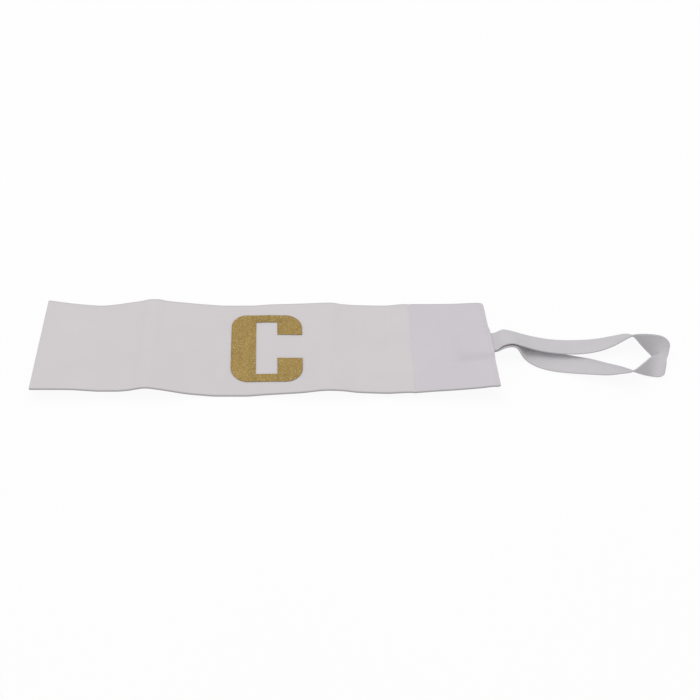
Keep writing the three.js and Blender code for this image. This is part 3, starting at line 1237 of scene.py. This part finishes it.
@dataclass
class Letter:
    """The block letter cut from glitter film."""

    sizes: Sizes
    lie: Lie
    cuts: Cloths
    corner_steps: int = 14
    grid: float = 1.3
    rounding: float = 0.13
    rounding_steps: int = 2
    same_point: float = 0.001
    same_plane: float = 0.0001
    most_corners: int = 4
    made: bpy.types.Object | None = None

    def outline(self) -> list[tuple[float, float]]:
        """The letter's outline, round outside and square inside.

        Returns:
            Its points, anticlockwise.
        """
        s = self.sizes
        right, top, corner = s.letter_width / 2, s.letter_height / 2, s.letter_corner
        inner, arm = s.letter_stem - right, right - s.letter_stem
        points = [(right, top - s.letter_upper_arm)]
        # The middle of each round corner, and where its quarter circle begins, in half circles.
        centres = ((right - corner, top - corner, 0.0), (corner - right, top - corner, 0.5))
        centres += ((corner - right, corner - top, 1.0), (right - corner, corner - top, 1.5))
        for x, y, turn in centres:
            for step in range(self.corner_steps + 1):
                angle = (turn + 0.5 * step / self.corner_steps) * math.pi
                points.append((x + corner * math.cos(angle), y + corner * math.sin(angle)))
        points += [(right, s.letter_lower_arm - top), (arm, s.letter_lower_arm - top)]
        points += [(arm, s.letter_bar - top), (inner, s.letter_bar - top), (inner, top - s.letter_bar)]
        points += [(arm, top - s.letter_bar), (arm, top - s.letter_upper_arm)]
        return points

    def flat_film(self) -> bpy.types.Mesh:
        """The flat film with soft edges.

        Returns:
            Its mesh in millimetres, around the letter's middle.
        """
        curve = bpy.data.curves.new("letter_outline", "CURVE")
        curve.dimensions = "2D"
        curve.fill_mode = "BOTH"
        curve.extrude = self.sizes.film / 2 - self.rounding
        curve.bevel_depth = self.rounding
        curve.bevel_resolution = self.rounding_steps
        curve.offset = -self.rounding
        points = self.outline()
        spline = curve.splines.new("POLY")
        spline.points.add(len(points) - 1)
        for point, (x, y) in zip(spline.points, points):
            point.co = (x, y, 0.0, 1.0)
        spline.use_cyclic_u = True
        holder = bpy.data.objects.new("letter_outline", curve)
        bpy.context.scene.collection.objects.link(holder)
        ready = holder.evaluated_get(bpy.context.evaluated_depsgraph_get())
        mesh = bpy.data.meshes.new_from_object(ready)
        bpy.data.objects.remove(holder)
        return mesh

    def build(self) -> None:
        """Cut the film finely, lay it on the waves and give it its finish."""
        s = self.sizes
        mesh = self.flat_film()
        work = bmesh.new()
        work.from_mesh(mesh)
        bmesh.ops.remove_doubles(work, verts=work.verts, dist=self.same_point)
        for axis, reach in ((0, s.letter_width / 2), (1, s.letter_height / 2)):
            for place in np.arange(-reach + self.grid, reach, self.grid):
                co, no = Vector((0, 0, 0)), Vector((0, 0, 0))
                co[axis], no[axis] = place, 1.0
                geometry = [*work.verts, *work.edges, *work.faces]
                bmesh.ops.bisect_plane(work, geom=geometry, plane_co=co, plane_no=no, dist=self.same_plane)
        wide = [face for face in work.faces if len(face.verts) > self.most_corners]
        bmesh.ops.triangulate(work, faces=wide)
        bmesh.ops.recalc_face_normals(work, faces=work.faces)
        work.to_mesh(mesh)
        work.free()
        flat = np.empty(len(mesh.vertices) * 3)
        mesh.vertices.foreach_get("co", flat)
        flat = flat.reshape(-1, 3)
        x = flat[:, 0] + s.letter_lean * flat[:, 1] + s.start + s.letter_from_end
        y = flat[:, 1] + s.letter_fall * flat[:, 0]
        under = self.lie.band(x, y) + self.cuts.creases.height(x, y) + s.cloth + s.layer_gap / 2
        laid = np.stack([x, y, under + flat[:, 2] + s.film / 2], axis=1) * MM
        mesh.vertices.foreach_set("co", laid.ravel())
        mesh.shade_smooth()
        mesh.name = Piece.LETTER.value
        mesh.materials.clear()
        self.made = bpy.data.objects.new(Piece.LETTER.value, mesh)
        bpy.context.scene.collection.objects.link(self.made)
        hold(self.made, GlitterFinish().make(), "letter_c")


@dataclass
class Stitches:
    """Rows of lockstitch on the band's upper side, made by Geometry Nodes."""

    sizes: Sizes
    lie: Lie
    cuts: Cloths
    thread: float = 0.42
    length: float = 2.0
    rise: float = 0.12
    border: float = 1.2
    row_points: int = 60
    smallest: tuple[float, float, float] = (0.93, 0.9, 0.9)
    largest: tuple[float, float, float] = (1.04, 1.1, 1.1)
    segments: int = 10
    rings: int = 8
    seed: int = 7
    made: bpy.types.Object | None = None

    def rows(self) -> list[np.ndarray]:
        """The lines that the stitches follow on the cloth.

        Returns:
            For each line its points in millimetres.
        """
        s = self.sizes
        half = s.band_width / 2 - self.cuts.rim - self.border
        across = np.linspace(-half, half, self.row_points)
        tops = []
        for seam in (s.facing_start + self.cuts.seam_inset, s.end - self.cuts.seam_inset):
            tops.append(self.on_cloth(np.full_like(across, seam), across))
        return tops

    def on_cloth(self, thread: np.ndarray, y: np.ndarray) -> np.ndarray:
        """Points on the band's upper side.

        Args:
            thread: The threads' unslanted X.
            y: Places across the band.

        Returns:
            Points in millimetres.
        """
        cuts = self.cuts
        relief = cuts.seam_relief(thread, y) + cuts.creases.height(thread, y)
        top = self.lie.band(thread, y) + relief + self.sizes.cloth
        return np.stack([self.lie.slanted(thread, y), y, top + self.thread * self.rise], axis=1)

    def node_group(self, material: bpy.types.Material) -> bpy.types.NodeTree:
        """Make the node group that sets stitches along edges.

        Args:
            material: The thread's material.

        Returns:
            The group, with named inputs.
        """
        tree = bpy.data.node_groups.new("StitchRows", "GeometryNodeTree")
        face = tree.interface
        face.new_socket(name="Geometry", in_out="INPUT", socket_type="NodeSocketGeometry")
        for label in ("Pitch", "Length", "Thread"):
            face.new_socket(name=label, in_out="INPUT", socket_type=FLOAT)
        face.new_socket(name="Seed", in_out="INPUT", socket_type="NodeSocketInt")
        face.new_socket(name="Material", in_out="INPUT", socket_type="NodeSocketMaterial")
        face.new_socket(name="Geometry", in_out="OUTPUT", socket_type="NodeSocketGeometry")
        g = Graph(tree)
        source, sink = g.add("NodeGroupInput"), g.add("NodeGroupOutput")
        rows = g.add("GeometryNodeMeshToCurve", {"Mesh": source.outputs["Geometry"]})
        spacing = {"Curve": rows.outputs[0], "Length": source.outputs["Pitch"]}
        spots = g.add("GeometryNodeResampleCurve", spacing, mode="LENGTH")
        tangent = g.add("GeometryNodeInputTangent")
        turn = g.add("FunctionNodeAlignEulerToVector", {"Vector": tangent.outputs[0]}, axis="X")
        limits = {0: self.smallest, 1: self.largest, "Seed": source.outputs["Seed"]}
        jitter = g.add("FunctionNodeRandomValue", limits, data_type="FLOAT_VECTOR")
        size = g.add(
            "ShaderNodeCombineXYZ",
            {0: source.outputs["Length"], 1: source.outputs["Thread"], 2: source.outputs["Thread"]},
        )
        scale = g.vector("MULTIPLY", size.outputs[0], jitter.outputs[0])
        sphere = {"Segments": self.segments, "Rings": self.rings, "Radius": 1 / 2}
        ball = g.add("GeometryNodeMeshUVSphere", sphere)
        smooth = g.add("GeometryNodeSetShadeSmooth", {0: ball.outputs[0]})
        laid = {"Points": spots.outputs[0], "Instance": smooth.outputs[0]}
        laid |= {"Rotation": turn.outputs[0], "Scale": scale}
        on_rows = g.add("GeometryNodeInstanceOnPoints", laid)
        real = g.add("GeometryNodeRealizeInstances", {0: on_rows.outputs[0]})
        given = {0: real.outputs[0], "Material": source.outputs["Material"]}
        g.feed(sink, {"Geometry": g.add("GeometryNodeSetMaterial", given).outputs[0]})
        return tree

    def build(self) -> None:
        """Lay the rows, run the nodes once and keep their plain mesh."""
        points, links = [], []
        for row in self.rows():
            first = len(points)
            points += (row * MM).tolist()
            links += [(first + i, first + i + 1) for i in range(len(row) - 1)]
        guide = bpy.data.meshes.new("stitch_rows")
        guide.from_pydata(points, links, [])
        holder = bpy.data.objects.new("stitch_rows", guide)
        bpy.context.scene.collection.objects.link(holder)
        material = ThreadFinish().make()
        tree = self.node_group(material)
        modifier = holder.modifiers.new("stitches", "NODES")
        modifier.node_group = tree
        values = {
            "Pitch": self.cuts.stitch_pitch * MM,
            "Length": self.length * MM,
            "Thread": self.thread * MM,
            "Seed": self.seed,
            "Material": material,
        }
        for item in tree.interface.items_tree:
            if item.in_out == "INPUT" and item.name in values:
                modifier[item.identifier] = values[item.name]
        bpy.context.view_layer.update()
        ready = holder.evaluated_get(bpy.context.evaluated_depsgraph_get())
        mesh = bpy.data.meshes.new_from_object(ready)
        mesh.name = Piece.STITCHES.value
        bpy.data.objects.remove(holder)
        self.made = bpy.data.objects.new(Piece.STITCHES.value, mesh)
        bpy.context.scene.collection.objects.link(self.made)
        hold(self.made, material, None)


@dataclass
class Studio:
    """Floor, light and camera."""

    aim: tuple[float, float, float] = (-2.9, 0.3, 0.0)
    elevation: float = 51.0
    distance: float = 722.0
    focal_pixels: float = 1170.0
    frame_pixels: float = 700.0
    sensor: float = 36.0
    floor_side: float = 12.0
    floor_drop: float = 0.2
    key_power: float = 3.9
    key_size: float = 1.1
    key_place: tuple[float, float, float] = (-0.1, 0.35, 1.1)
    sky_low: float = 0.58
    sky_high: float = 0.63
    sky_high_from: float = 0.9
    backdrop: float = 0.985
    nearest: float = 0.01

    def build(self) -> None:
        """Build the stage."""
        self.floor()
        self.sky()
        self.key()
        self.camera()
        bpy.context.scene.view_settings.view_transform = "Standard"

    def floor(self) -> None:
        """Lay the pale surface."""
        half = self.floor_side / 2
        mesh = bpy.data.meshes.new(Piece.FLOOR.value)
        corners = ((-half, -half), (half, -half), (half, half), (-half, half))
        mesh.from_pydata([(x, y, -self.floor_drop * MM) for x, y in corners], [], [(0, 1, 2, 3)])
        mesh.materials.append(FloorFinish().make())
        floor = bpy.data.objects.new(Piece.FLOOR.value, mesh)
        bpy.context.scene.collection.objects.link(floor)
        floor.visible_diffuse = False
        floor.visible_glossy = False

    def sky(self) -> None:
        """Set even light from all round, stronger from above, that looks like the pale surface itself."""
        world = bpy.data.worlds.new("studio")
        bpy.context.scene.world = world
        world.use_nodes = True
        g = Graph(world.node_tree)
        back = world.node_tree.nodes["Background"]
        way = g.add("ShaderNodeTexCoord").outputs["Generated"]
        rise = g.add("ShaderNodeSeparateXYZ", {0: way}).outputs[2]
        limits = {"Value": rise, "From Min": 0.0, "From Max": self.sky_high_from}
        limits |= {"To Min": self.sky_low, "To Max": self.sky_high}
        level = g.add("ShaderNodeMapRange", limits)
        seen = g.math("MULTIPLY", g.add("ShaderNodeLightPath").outputs["Is Camera Ray"], self.backdrop)
        g.feed(back, {"Color": WHITE, "Strength": g.math("MAXIMUM", level.outputs[0], seen)})

    def key(self) -> None:
        """Hang the soft light above and a little behind."""
        light = bpy.data.lights.new("key", "AREA")
        light.shape = "DISK"
        light.size = self.key_size
        light.energy = self.key_power
        lamp = bpy.data.objects.new("key", light)
        lamp.location = self.key_place
        lamp.rotation_euler = (-Vector(self.key_place)).to_track_quat("-Z", "Y").to_euler()
        bpy.context.scene.collection.objects.link(lamp)

    def camera(self) -> None:
        """Place the camera at the photograph's angle."""
        lens = bpy.data.cameras.new("camera")
        lens.sensor_width = self.sensor
        lens.lens = self.focal_pixels * self.sensor / self.frame_pixels
        lens.clip_start = self.nearest
        rise = math.radians(self.elevation)
        back = Vector((0.0, -math.cos(rise), math.sin(rise)))
        eye = bpy.data.objects.new("camera", lens)
        eye.location = (Vector(self.aim) + back * self.distance) * MM
        eye.rotation_mode = "QUATERNION"
        eye.rotation_quaternion = (-back).to_track_quat("-Z", "Y")
        bpy.context.scene.collection.objects.link(eye)
        bpy.context.scene.camera = eye


def main() -> None:
    """Build the armband piece by piece, then its stage."""
    logging.basicConfig(level=logging.INFO, format="%(name)s: %(message)s")
    sizes = Sizes()
    lie = Lie(sizes)
    cloths = Cloths(sizes, lie)
    cloths.build(PlainWeave().group())
    elastic = Elastic(sizes, lie)
    elastic.build()
    letter = Letter(sizes, lie, cloths)
    letter.build()
    stitches = Stitches(sizes, lie, cloths)
    stitches.build()
    for made in (*cloths.made.values(), elastic.made, letter.made, stitches.made):
        log.info("%s: %d faces", made.name, len(made.data.polygons))
    log.info("elastic length %.1f mm", elastic.length)
    Studio().build()


if __name__ == "__main__":
    main()
